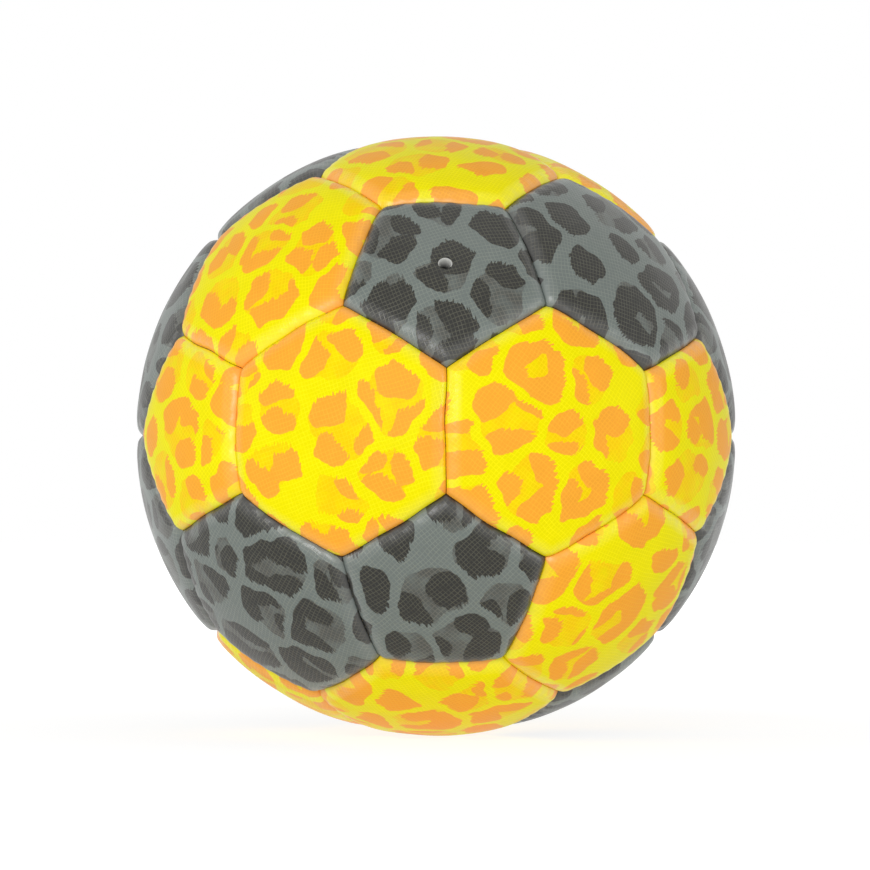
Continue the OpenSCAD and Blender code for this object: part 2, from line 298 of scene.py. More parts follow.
def own_props(group):
    """The properties that a group declares itself."""
    return [prop for key, prop in group.bl_rna.properties.items() if key not in ("rna_type", "name")]


def plain_sizes(group):
    """A property group as plain values: lengths in millimetres and colours as tuples."""
    values = {}
    for prop in own_props(group):
        value = getattr(group, prop.identifier)
        if prop.unit == "LENGTH":
            value = value / MM
        values[prop.identifier] = tuple(value) if prop.subtype == "COLOR" else value
    return SimpleNamespace(**values)


def ball_sizes():
    """The panel, print and inner sizes as plain values, with the radii that follow from them."""
    scene = bpy.context.scene
    panels, prints, inner = (
        plain_sizes(group) for group in (scene.handball_panels, scene.handball_print, scene.handball_inner))
    # the CAD box ends on the bevels beside a seam, and the ball's full radius lies beyond it
    panels.radius = math.hypot(CAD_BOX[1][0] / MM, panels.bevel_reach)
    inner.foam_r = panels.radius - panels.skin - inner.glue_gap
    inner.backing_r = inner.foam_r - inner.foam - inner.glue_gap
    inner.bladder_r = inner.backing_r - inner.backing - inner.glue_gap
    inner.cord_r = panels.radius - panels.edge_depth - inner.glue_gap - inner.cord_d / 2
    inner.neck_hole = inner.neck_d / 2 + inner.glue_gap
    inner.pad_inset = panels.seam_gap / 2 + panels.turned_in + inner.glue_gap
    return panels, prints, inner


def unit(v):
    """Vectors along the last axis at length one."""
    return v / np.linalg.norm(v, axis=-1, keepdims=True)


def square_to(v, out):
    """The part of vectors that is at right angles to the unit vectors out."""
    return v - (v * out).sum(-1, keepdims=True) * out


def once_round(count):
    """Evenly spaced bearings once round."""
    return np.linspace(0, TURN, count, endpoint=False)


def turned_flat(points, angle):
    """Flat points turned by an angle."""
    c, s = math.cos(angle), math.sin(angle)
    return points @ np.array([(c, -s), (s, c)])


def soft_max(values, soft):
    """The largest of the values along the last axis, rounded off where two are within soft of each other."""
    top = values.max(-1, keepdims=True)
    return (top + soft * np.log(np.exp((values - top) / soft).sum(-1, keepdims=True)))[..., 0]


def panel_place(kind, index):
    """(centre direction, direction towards the middle of its first side, sides, tilt) of one panel."""
    if kind == "pent":
        trio = next(t for t in HEX_TRIOS if index in t)
        return PENT_DIRS[index], PENT_DIRS[list(trio)].sum(0), 5, PENT_TILT
    trio = HEX_TRIOS[index]
    return PENT_DIRS[list(trio)].sum(0), PENT_DIRS[trio[0]], 6, HEX_TILT


def panel_axes(kind, index):
    """Rows: the panel's two tangent axes, the first towards its first side, and its outward axis."""
    centre, towards = panel_place(kind, index)[:2]
    out = unit(centre)
    first = unit(square_to(towards, out))
    return np.array([first, np.cross(out, first), out])


def inset_angle(inset, around, sides, tilt, radius):
    """Angle from a panel's centre line to the curve that runs a given distance inside its seams.

    A point at angle r from the centre line and at bearing b is radius * (sin(tilt) cos(r) - cos(tilt)
    cos(b - side) sin(r)) from the plane of the nearest seam, which is solved for r.
    """
    part = TURN / sides
    across = (around + part / 2) % part - part / 2
    a, b = math.sin(tilt), math.cos(tilt) * np.cos(across)
    return np.arccos(inset / (radius * np.hypot(a, b))) - np.arctan2(b, a)


def soft_noise(points, wavelength, seed):
    """A smooth unevenness of about -1 to 1: the scaled sum of waves along random directions."""
    rng = np.random.default_rng(seed)
    ways = unit(rng.normal(size=(WAVES, 3))) * rng.uniform(*WAVE_SPREAD, (WAVES, 1)) * TURN / wavelength
    return np.sin(points @ ways.T + rng.uniform(0, TURN, WAVES)).sum(1) / WAVE_SCALE


def seam_distances(rays, kind, index, radius):
    """For each ray: distance from each seam's plane, and place along each seam, in millimetres."""
    sides, tilt = panel_place(kind, index)[2:]
    first, second, out = panel_axes(kind, index)
    turn = TURN * np.arange(sides)[:, None] / sides
    side = np.cos(turn) * first + np.sin(turn) * second
    along = np.cos(turn) * second - np.sin(turn) * first
    outward = math.cos(tilt) * side - math.sin(tilt) * out
    return -radius * rays @ outward.T, radius * rays @ along.T


def seam_wander(points, gap, panels):
    """Points moved sideways as the seams stray: a smooth drift over the ball that all panels share.

    It fades with the distance from the seam, so the middles of the panels and the valve stay put.
    """
    drift = np.stack([soft_noise(points, panels.wander_wave, seed) for seed in WANDER_SEEDS], 1)
    fade = np.exp(-(gap / WANDER_FADE) ** 2)[:, None]
    return points + panels.wander * fade * square_to(drift, unit(points))


def panel_rings(kind, index, insets, per_side, radius, hole=0):
    """Rings that follow a panel's outline at given distances inside its seams.

    Gives the rays from the ball's centre and the flat place of each point, both in rings. With a hole,
    the rings turn round towards it, and close in on it instead of on the panel's middle.
    """
    sides, tilt = panel_place(kind, index)[2:]
    axes = panel_axes(kind, index)
    around = once_round(sides * per_side)
    angle = np.stack([inset_angle(np.full_like(around, i), around, sides, tilt, radius) for i in insets])
    if hole:
        inward = (insets / (radius * math.sin(tilt)))[:, None]
        angle = (1 - inward) * angle + inward * angle.mean(1, keepdims=True)
        angle += hole / radius * (1 - angle / angle.max(0))
    c, s = np.cos(around)[..., None], np.sin(around)[..., None]
    rays = np.cos(angle)[..., None] * axes[2] + np.sin(angle)[..., None] * (c * axes[0] + s * axes[1])
    return rays, radius * angle[..., None] * np.concatenate([c, s], 1)


def shell_faces(rings, around, poles):
    """Faces of a closed surface of rings: quads between the rings, and a fan at each pole.

    The poles are the two points after the rings. Without poles, the last ring joins the first.
    """
    ring = np.arange(rings - 1 if poles else rings)[:, None] * around
    j = np.arange(around)[None]
    k = (j + 1) % around
    total = rings * around
    quads = np.stack([ring + j, (ring + around + j) % total, (ring + around + k) % total, ring + k], -1)
    faces = quads.reshape(-1, 4).tolist()
    if poles:
        j, k = j[0], k[0]
        last = total - around
        faces += np.stack([np.full(around, total), j, k], -1).tolist()
        faces += np.stack([last + j, np.full(around, total + 1), last + k], -1).tolist()
    return faces


def turned(r, z, axes, count):
    """Points and faces of an outline (r, z) turned once round the third of the axes.

    A point is r cos(b) along the first axis, r sin(b) along the second and z along the third. An outline
    that starts and ends on the axis gets a pole at each end, and any other one is closed into a ring.
    """
    around = once_round(count)
    poles = r[0] == 0
    ends = z[[0, -1]]
    if poles:
        r, z = r[1:-1], z[1:-1]
    points = (np.outer(r, np.cos(around))[..., None] * axes[0]
              + np.outer(r, np.sin(around))[..., None] * axes[1]
              + z[:, None, None] * axes[2]).reshape(-1, 3)
    if poles:
        points = np.concatenate([points, np.outer(ends, axes[2])])
    return points, shell_faces(len(r), count, poles)


def with_poles(points, flat, kind, index, heights):
    """The points and flat places of a panel's rings, with two poles at heights on its centre line."""
    poles = np.outer(heights, panel_axes(kind, index)[2])
    return np.concatenate([points, poles]), np.concatenate([flat, np.zeros((2, 2))])


def joined(parts):
    """Several (points, faces) as one."""
    points, faces, start = [], [], 0
    for part_points, part_faces in parts:
        points.append(part_points)
        faces += [[start + v for v in face] for face in part_faces]
        start += len(part_points)
    return np.concatenate(points), faces


def new_object(name, data):
    """A new object in the scene, at the origin and unturned."""
    item = bpy.data.objects.new(name, data)
    bpy.context.scene.collection.objects.link(item)
    return item


def new_piece(name, points, faces, materials, body, node, slots=None, floats=None, flat=None):
    """A smooth mesh that rides on a body in place of a node, from points in millimetres.

    It may have a material slot per face, and per-point values and a UV map of its flat cloth.
    """
    mesh = bpy.data.meshes.new(name)
    mesh.from_pydata((points * MM).tolist(), [], faces)
    for material in materials:
        mesh.materials.append(material)
    mesh.polygons.foreach_set("use_smooth", np.ones(len(mesh.polygons), bool))
    if slots is not None:
        mesh.polygons.foreach_set("material_index", slots)
    for key, values in (floats or {}).items():
        mesh.attributes.new(key, "FLOAT", "POINT").data.foreach_set("value", values.astype(np.float32))
    if flat is not None:
        corner = np.empty(len(mesh.loops), np.int32)
        mesh.loops.foreach_get("vertex_index", corner)
        layer = mesh.uv_layers.new(name="Cloth")
        layer.uv.foreach_set("vector", (flat[corner] / CLOTH_MM + 0.5).astype(np.float32).ravel())
    mesh.update()
    piece = new_object(name, mesh)
    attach(piece, body)
    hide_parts(node)
    return piece


def puffed_radius(rays, kind, index, panels, seed):
    """Distance of a panel's surface from the ball's centre along each ray.

    It is the ball's radius, less the crown towards the rim, less a drop at each seam that fades as
    exp(-distance / reach), deeper at each stitch, plus the soft unevenness of the stuffing.
    """
    radius = panels.radius
    gap, along = seam_distances(rays, kind, index, radius)
    rim = 1 - gap.min(1) / (radius * math.sin(panel_place(kind, index)[3]))
    stitch = np.cos(TURN * along / panels.stitch_pitch)
    drop = panels.roll_drop * np.exp(-gap / panels.roll_reach)
    drop += panels.pucker * stitch * np.exp(-((gap - panels.pucker_at) / PUCKER_WIDTH) ** 2)
    drop = np.sqrt((drop ** 2).sum(1))
    return (radius - panels.crown * rim ** 2 - drop
            + panels.waviness * soft_noise(rays * radius, panels.wave, seed))


def rosette_centres(spacing, reach, rng):
    """Centres of the rosettes: a triangular lattice, each point pushed a little to a random side."""
    n = int(reach / spacing) + 2
    i, j = np.meshgrid(np.arange(-n, n + 1), np.arange(-n, n + 1))
    lattice = np.stack([i + j / 2, j * math.sqrt(3) / 2], -1).reshape(-1, 2) * spacing
    lattice = turned_flat(lattice, rng.uniform(0, math.pi))
    return lattice + rng.uniform(-ROSETTE_PUSH, ROSETTE_PUSH, lattice.shape) * spacing


def print_fields(flat, prints, seed):
    """Signed distances, in millimetres, to the dark lobes and to the whole outlines of the rosettes.

    Each point belongs to its nearest rosette, with a bonus for the large ones, so that large and small
    ones pack together. A rosette is an oval with one to four lobes round it. A lobe is the inside of
    seven straight strokes at uneven distances, and so is the toned middle. Where rosettes would meet,
    both are cut back by half a channel.
    """
    rng = np.random.default_rng(seed)
    centres = rosette_centres(prints.spacing, PRINT_REACH, rng)
    count = len(centres)
    each = (count, LOBES)
    rank = rng.uniform(0, 1, count)
    size = prints.spacing * (SIZE + SIZE_MORE * rank)
    stretch = np.sqrt(rng.uniform(*OVAL, count))
    lean = rng.uniform(0, math.pi, count)
    number = np.floor(NUMBER + NUMBER_MORE * rank + rng.uniform(0, NUMBER_CHANCE, count))
    number = np.clip(number, 1, LOBES)
    alone = number == 1
    lobe = np.arange(LOBES)
    first = rng.uniform(0, TURN, (count, 1))
    place = lobe + rng.uniform(-LOBE_SHIFT, LOBE_SHIFT, each)
    way = first + place * TURN / (number + rng.uniform(0, LOBE_GAP, count))[:, None]
    out = np.where(alone, 0, (LOBE_OUT + LOBE_OUT_MORE * rank) * size)
    out = out[:, None] * rng.uniform(*LOBE_OUT_CHANCE, each)
    half = np.where(alone, LONE_HALF, LOBE_HALF - LOBE_HALF_LESS * rank) * size
    half = half[:, None] * rng.uniform(*LOBE_HALF_CHANCE, each)
    long = np.sqrt(rng.uniform(*LOBE_OVAL, each))
    stroke_way = np.arange(STROKES) + rng.uniform(-STROKE_SHIFT, STROKE_SHIFT, (*each, STROKES))
    stroke_way *= TURN / STROKES
    stroke_at = half[..., None] * rng.uniform(*STROKE_CHANCE, (*each, STROKES))
    middle_at = MIDDLE_HALF * size * rng.uniform(*MIDDLE_CHANCE, count)
    middle_at = middle_at[:, None] * rng.uniform(*MIDDLE_STROKES, (count, STROKES))

    lifted = np.pad(flat, ((0, 0), (0, 1)))
    flat = flat + WAVY * np.stack([soft_noise(lifted, WAVY_LENGTH, seed + n) for n in (1, 2)], 1)
    off = flat[:, None, :] - centres[None]
    square = (off ** 2).sum(2) - SIZE_BONUS * (rank - 0.5)
    near = square.argmin(1)
    rows = np.arange(len(flat))
    own = off[rows, near]
    between = np.linalg.norm(centres[near][:, None] - centres[None], axis=2)
    bisector = (square - square[rows, near][:, None]) / (2 * np.maximum(between, 1e-6))
    bisector[rows, near] = 2 * FAR
    cut = prints.channel / 2 + soft_max(-np.minimum(bisector, 2 * FAR), SOFT_CELL)

    c, s = np.cos(lean)[near], np.sin(lean)[near]
    x = (own[:, 0] * c + own[:, 1] * s) / stretch[near]
    y = (own[:, 1] * c - own[:, 0] * s) * stretch[near]
    c, s = np.cos(way)[near], np.sin(way)[near]
    outwards = (x[:, None] * c + y[:, None] * s - out[near]) * long[near]
    sideways = (y[:, None] * c - x[:, None] * s) / long[near]
    strokes = (outwards[..., None] * np.cos(stroke_way)[near] + sideways[..., None] * np.sin(stroke_way)[near]
               - stroke_at[near])
    lobes = np.where(lobe < number[near][:, None], soft_max(strokes, SOFT_STROKE), FAR)
    dark = -soft_max(-lobes, SOFT_LOBE)
    strokes = x[:, None] * np.cos(stroke_way[near, 0]) + y[:, None] * np.sin(stroke_way[near, 0])
    middle = np.where(alone[near], FAR, soft_max(strokes - middle_at[near], SOFT_MIDDLE))
    whole = -soft_max(-np.stack([dark, middle], -1), SOFT_EDGE)
    return tuple(soft_max(np.stack([spot, cut], -1), SOFT_EDGE) for spot in (dark, whole))


def leather_panel(kind, index, panels, prints):
    """Points, faces, material slots, per-point values and flat places of one leather panel.

    The outer rings lie at puffed_radius, close together where the leather rolls over into the seam.
    Below them a straight wall, the turned-in edge and the flat inner side close the shell. The valve's
    panel has a round hole in place of its poles. The per-point values are the distances to the dark
    lobes, to the rosettes' outlines and to the seam, and which way the print's hairs lie.
    """
    radius, seed = panels.radius, prints.seed * SEED_STEP + index + (HEX_SEED if kind == "hex" else 0)
    middle = radius * math.sin(panel_place(kind, index)[3])
    edge = panels.seam_gap / 2
    inside = edge + panels.turned_in
    opened = (kind, index) == ("pent", VALVE_PENT)
    near = edge + np.array(ROLL_RINGS)
    outer = np.concatenate([np.linspace(middle, near[0], int((middle - near[0]) / RING_STEP))[:-1], near])
    inner = np.linspace(inside, middle, INNER_RINGS)[1:]
    if not opened:
        outer, inner = outer[1:], inner[:-1]
    insets = np.concatenate([outer, [edge] * len(WALL_SHARES), [inside] * 3, inner])
    hole = panels.valve_hole if opened else 0
    rays, flat = panel_rings(kind, index, insets, LEATHER_AROUND, radius, hole)
    shape = rays.shape[:2]
    rays, flat = rays.reshape(-1, 3), flat.reshape(-1, 2)
    distance = puffed_radius(rays, kind, index, panels, seed).reshape(shape)
    n = len(outer)
    if opened:
        beyond = np.linalg.norm(flat, axis=1).reshape(shape)[:n] - hole
        distance[:n] -= panels.hole_lip * np.exp(-beyond / panels.hole_lip)
    foot, cavity = radius - panels.edge_depth, radius - panels.skin
    wall = n + len(WALL_SHARES)
    distance[n:wall] = distance[n - 1] + (foot - distance[n - 1]) * np.array(WALL_SHARES)[:, None]
    distance[wall:wall + 2] = np.array([foot, (foot + cavity) / 2])[:, None]
    # the inner side stays below the rolled surface, also in the corners, where three rolls meet
    distance[wall + 2:] = np.minimum(cavity, distance[wall + 2:] - THIN_SKIN)
    gap = seam_distances(rays, kind, index, radius)[0].min(1)
    points = seam_wander(rays * distance.reshape(-1, 1), gap, panels)
    gap[n * shape[1]:] = 0
    if not opened:
        top = puffed_radius(panel_axes(kind, index)[2:], kind, index, panels, seed)[0]
        points, flat = with_poles(points, flat, kind, index, (top, cavity))
        gap = np.append(gap, [middle, 0])
    if kind == "hex" and index in REST_HEXES:
        points[:, 2] = np.maximum(points[:, 2], CAD_BOX[0][2] / MM)
    cut = np.random.default_rng(seed + CUT_SEED).uniform(0, TURN)  # how the panel was cut from the sheet
    cloth = turned_flat(flat, cut)
    lobes, whole = print_fields(cloth, prints, seed)
    ahead = print_fields(cloth + np.array([HAIR_STEP, 0]), prints, seed)[0]
    floats = {"spot": lobes, "tone": whole, "seam": gap, "fray": np.clip((ahead - lobes) / HAIR_STEP, -1, 1)}
    faces = shell_faces(*shape, not opened)
    slots = np.zeros(len(faces), np.int32)
    slots[wall * shape[1]:(shape[0] - 1) * shape[1]] = 1
    if not opened:
        slots[-shape[1]:] = 1
    return points, faces, slots, floats, cloth


def layer_pad(kind, index, top, thick, rounding, wave, recess, panels, inner):
    """Points, faces and flat places of one pad of an inner layer, between two curved surfaces.

    Its rings follow the panel's outline. The edge between its outer and inner side is half an ellipse,
    and both sides share a soft unevenness. Around the valve it has a round hole, and its outer side may
    be recessed there for the cloth ring, with a smooth step.
    """
    opened = (kind, index) == ("pent", VALVE_PENT)
    middle = panels.radius * math.sin(panel_place(kind, index)[3])
    side = np.linspace(middle, inner.pad_inset + rounding, PAD_RINGS)[0 if opened else 1:-1]
    turn = np.linspace(0, math.pi, BEND_POINTS)
    insets = np.concatenate([side, inner.pad_inset + rounding * (1 - np.sin(turn)), side[::-1]])
    depth = np.concatenate([0 * side, thick / 2 * (1 - np.cos(turn)), 0 * side + thick])[:, None]
    hole = inner.neck_hole if opened else 0
    rays, flat = panel_rings(kind, index, insets, PAD_AROUND, panels.radius, hole)
    shape, rays = rays.shape[:2], rays.reshape(-1, 3)
    distance = top - depth + wave * soft_noise(rays * top, panels.wave, PAD_SEED).reshape(shape)
    if opened:
        beyond = (np.linalg.norm(flat, axis=2) - inner.ring_d / 2 - inner.glue_gap) / STEP_SOFT
        distance -= recess * (1 - depth / thick) / (1 + np.exp(np.clip(beyond, -STEP_LIMIT, STEP_LIMIT)))
    gap = seam_distances(rays, kind, index, panels.radius)[0].min(1)
    points = seam_wander(rays * distance.reshape(-1, 1), gap, panels)
    flat = flat.reshape(-1, 2)
    if not opened:
        points, flat = with_poles(points, flat, kind, index, (top, top - thick))
    return points, shell_faces(*shape, not opened), flat


def layer_piece(name, kind, material, top, thick, rounding, wave=0, recess=0):
    """One layer's pads under all the panels of a kind, as one piece."""
    panels, _, inner = ball_sizes()
    pads = [layer_pad(kind, index, top, thick, rounding, wave, recess, panels, inner)
            for index in range(COUNTS[kind])]
    points, faces = joined([pad[:2] for pad in pads])
    node = f"{name.lower()}_{'pentagons' if kind == 'pent' else 'hexagons'}"
    return new_piece(f"{name}_{kind}", points, faces, [material], "ball", node,
                     flat=np.concatenate([pad[2] for pad in pads]))


def seam_arcs():
    """The 90 seams: directions of their middles and of their courses, as two arrays of unit vectors.

    A seam between two hexagons lies on the line from one pentagon to the next. A pentagon's own seams
    lie at its tilt from its centre line, towards each of its five hexagons.
    """
    a, b = np.array(HEX_SEAMS).T
    pent, trio = np.array([(p, t) for t, trio in enumerate(HEX_TRIOS) for p in trio]).T
    out = unit(PENT_DIRS[pent])
    hexagon = PENT_DIRS[np.array(HEX_TRIOS)[trio]].sum(1)
    side = unit(square_to(hexagon, out))
    middles = [unit(PENT_DIRS[a] + PENT_DIRS[b]), math.cos(PENT_TILT) * out + math.sin(PENT_TILT) * side]
    return np.concatenate(middles), np.concatenate([unit(PENT_DIRS[a] - PENT_DIRS[b]), np.cross(out, side)])


def over_seams(height, turn, across):
    """Points of the same strands at every seam: heights, angles along it and distances across it."""
    spread = tuple(range(1, across.ndim + 1))
    middles, courses = (np.expand_dims(ways, spread) for ways in seam_arcs())
    return ((height * np.cos(turn))[..., None] * middles
            + (height * np.sin(turn))[..., None] * courses
            + across[..., None] * np.cross(middles, courses)).reshape(-1, 3)


def strand_faces(total, rings, around):
    """Faces of closed strands with that many points in all: quads between rings, one face at each end."""
    start = np.arange(0, total, rings * around)[:, None, None]
    base = start + np.arange(rings - 1)[None, :, None] * around
    j = np.arange(around)[None, None]
    k = (j + 1) % around
    quads = np.stack([base + j, base + around + j, base + around + k, base + k], -1).reshape(-1, 4)
    first = start[:, 0] + j[0]
    last = start[:, 0] + (rings - 1) * around + j[0][:, ::-1]
    return quads.tolist() + first.tolist() + last.tolist()


def seam_cords(inner):
    """Points and faces of the cord under every seam.

    It is a tube along an arc round the ball's centre. Its radius swells and shrinks as the cosine of the
    bearing less the twist, which gives its section the shape of two plies that turn round each other.
    """
    rings, sides = 64, 8
    half = SEAM_HALF - math.asin(inner.cord_end / inner.cord_r)
    turn = np.linspace(-half, half, rings)[:, None]
    around = once_round(sides)
    twist = TURN * turn * inner.cord_r / inner.cord_lay
    thick = inner.cord_d / 2 * (PLY + (1 - PLY) * np.abs(np.cos(around - twist)))
    points = over_seams(inner.cord_r + thick * np.cos(around), turn, thick * np.sin(around))
    return points, strand_faces(len(points), rings, sides)


def seam_stitches(panels, inner):
    """Points and faces of the stitches that cross the seams, two to each stitch pitch.

    A stitch is a short spindle that slants across the seam to one side and the other by turns, and
    sinks at both ends into the turned-in edges.
    """
    rings, sides = 5, 5
    pitch = panels.stitch_pitch / 2
    count = int(2 * (SEAM_HALF * panels.radius - inner.stitch_end) / pitch)
    place = ((np.arange(count) - (count - 1) / 2) * pitch)[:, None, None]
    lean = np.where(np.arange(count) % 2, STITCH_SLANT, -STITCH_SLANT)[:, None, None]
    reach = np.linspace(-1, 1, rings)[:, None]
    around = once_round(sides)
    swell = inner.stitch_d / 2 * np.sqrt(1 - STITCH_POINT * reach ** 2)
    height = panels.radius - inner.stitch_sink + swell * np.cos(around) - STITCH_SAG * reach ** 2
    wide = swell * np.sin(around)
    along = place + inner.stitch_length / 2 * reach * np.cos(lean) - wide * np.sin(lean)
    across = inner.stitch_length / 2 * reach * np.sin(lean) + wide * np.cos(lean)
    points = over_seams(height, along / panels.radius, across)
    points = seam_wander(points, np.zeros(len(points)), panels)
    return points, strand_faces(len(points), rings, sides)


def bladder_outline(inner):
    """The bladder's outline (r, z) from the pole opposite the valve: out, round the hole's edge and back.

    Both sides are arcs round the ball's centre. The hole's edge is half a circle, and the parting line
    halfway is a low ridge, a bell curve of the angle.
    """
    outer, thick = inner.bladder_r, inner.bladder
    edge = math.pi - math.asin(inner.neck_hole / outer) - thick / 2 / outer
    arc = np.linspace(0, edge, ARC_POINTS)
    turn = np.linspace(0, math.pi, BEND_POINTS)[1:-1]
    angle = np.concatenate([arc, edge + thick / 2 / outer * np.sin(turn), arc[::-1]])
    ridge = inner.parting * np.exp(-((arc - math.pi / 2) * outer / PARTING_WIDTH) ** 2)
    radius = np.concatenate([outer + ridge, outer - thick / 2 * (1 - np.cos(turn)), 0 * arc + outer - thick])
    r, z = radius * np.sin(angle), radius * np.cos(angle)
    r[[0, -1]] = 0
    return r, z


def ring_outline(inner):
    """The cloth ring's outline (r, z): outwards on its outer side, round its edge and back inside."""
    thick, outer = inner.ring, inner.ring_d / 2 - inner.ring / 2
    run = np.linspace(inner.neck_hole, outer, RING_POINTS)
    turn = np.linspace(0, math.pi, RING_BEND)[1:-1]
    reach = np.concatenate([run, outer + thick / 2 * np.sin(turn), run[::-1]])
    radius = inner.foam_r - np.concatenate([0 * run, thick / 2 * (1 - np.cos(turn)), 0 * run + thick])
    return radius * np.sin(reach / inner.foam_r), radius * np.cos(reach / inner.foam_r)


def core_outline(panels, inner):
    """The valve core's outline (r, z) from the floor of its needle hole, round the mouth, to its inner end.

    The third array is the painted shade in the mouth: how deep a point lies, from 0 outside to 1 in the
    needle's hole.
    The funnel widens as a power of the height above the needle's hole, the lip is half a circle, each
    oil groove is a cosine dip, and the inner end's edge is a quarter circle.
    """
    outer, lip, half_groove = inner.core_d / 2, inner.funnel_rim / 2, inner.groove_w / 2
    bore, mouth, foot_r = inner.needle_hole, outer - inner.funnel_rim, 3 * lip
    floor, end = -inner.funnel_depth - inner.needle_depth, -inner.core_length
    rise = np.linspace(0, 1, FUNNEL_POINTS)
    lip_turn = np.linspace(math.pi, 0, BEND_POINTS)[1:-1]
    skirt = np.linspace(-lip, end + foot_r, ARC_POINTS)
    dip = sum(np.clip(1 - np.abs(skirt + (1 - at) * inner.core_length - half_groove) / half_groove, 0, 1)
              for at in GROOVES_AT)
    foot = np.linspace(0, math.pi / 2, FOOT_POINTS)[1:]
    r = np.concatenate([[0, FLOOR_RING * bore, bore], bore + (mouth - bore) * rise ** FUNNEL_POWER,
                        outer - lip + lip * np.cos(lip_turn),
                        outer - inner.groove_deep * (1 - np.cos(dip * math.pi)) / 2,
                        outer - foot_r * (1 - np.cos(foot)), [outer / 2, 0]])
    z = np.concatenate([[floor, floor, floor + lip], -inner.funnel_depth + (inner.funnel_depth - lip) * rise,
                        lip * np.sin(lip_turn) - lip, skirt, end + foot_r * (1 - np.sin(foot)), [end, end]])
    # painted shade in the funnel: 0 at the lip, rising to 1, near black, at the needle's hole
    funnel_shade = (1 - rise) ** FUNNEL_SHADE_POWER
    depth = np.concatenate([[1, 1, 1], funnel_shade, np.zeros(len(r) - 3 - len(funnel_shade))])
    return r, z + panels.radius - inner.core_sink, depth


def add_node(tree, kind, inputs=None, **settings):
    """Adds a shader node with its settings.

    Each of inputs is a plain value, a socket or a node, which stands for its first output.
    """
    node = tree.nodes.new("ShaderNode" + kind)
    for key, value in settings.items():
        setattr(node, key, value)
    for key, value in (inputs or {}).items():
        if isinstance(value, bpy.types.Node):
            value = value.outputs[0]
        if isinstance(value, bpy.types.NodeSocket):
            tree.links.new(value, node.inputs[key])
        else:
            node.inputs[key].default_value = value
    return node


def empty_tree(holder):
    """The emptied node tree of a material or world, as a shorthand that adds nodes to it."""
    holder.use_nodes = True
    holder.node_tree.nodes.clear()
    return partial(add_node, holder.node_tree)


def new_material(name):
    """A material without nodes, and the shorthand that adds nodes to it."""
    material = bpy.data.materials.new(name)
    return material, empty_tree(material)


def finish_material(add, base, roughness, height, depth, specular=0.5):
    """Ends a material in a Principled shader; the height field stands depth millimetres proud."""
    bump = add("Bump", {"Height": height, "Strength": BUMP, "Distance": depth * MM})
    shader = add("BsdfPrincipled", {"Base Color": base, "Roughness": roughness, "Normal": bump, "IOR": IOR,
                                    "Specular IOR Level": specular})
    add("OutputMaterial", {"Surface": shader})


def two_toned(name, pattern, dark, light, roughness, depth, specular=0.5):
    """A material with one pattern, a function of add, that mixes its two colours and is its height."""
    material, add = new_material(name)
    height = pattern(add)
    base = add("Mix", {0: height, MIX_A: linear(dark), MIX_B: linear(light)}, data_type="RGBA")
    finish_material(add, base.outputs[MIX_OUT], roughness, height, depth, specular)
    return material


def crossed_ridges(add, place, along, across, turn):
    """Two sets of thin ridges at right angles, 0 between them to 1 on top, from pitches in millimetres."""
    cells = add("Mapping", {"Vector": place, "Rotation": (0, 0, turn),
                            "Scale": (along / CLOTH_MM, across / CLOTH_MM, 1)}, vector_type="TEXTURE")
    split = add("SeparateXYZ", {0: cells})
    ridges = []
    for axis in (0, 1):
        wave = add("Math", {0: split.outputs[axis], 1: 0.5}, operation="PINGPONG")
        ridges.append(add("Math", {0: wave, 1: RIDGE_SLOPE, 2: RIDGE_START}, operation="MULTIPLY_ADD",
                          use_clamp=True))
    return add("Math", dict(enumerate(ridges)), operation="MAXIMUM")


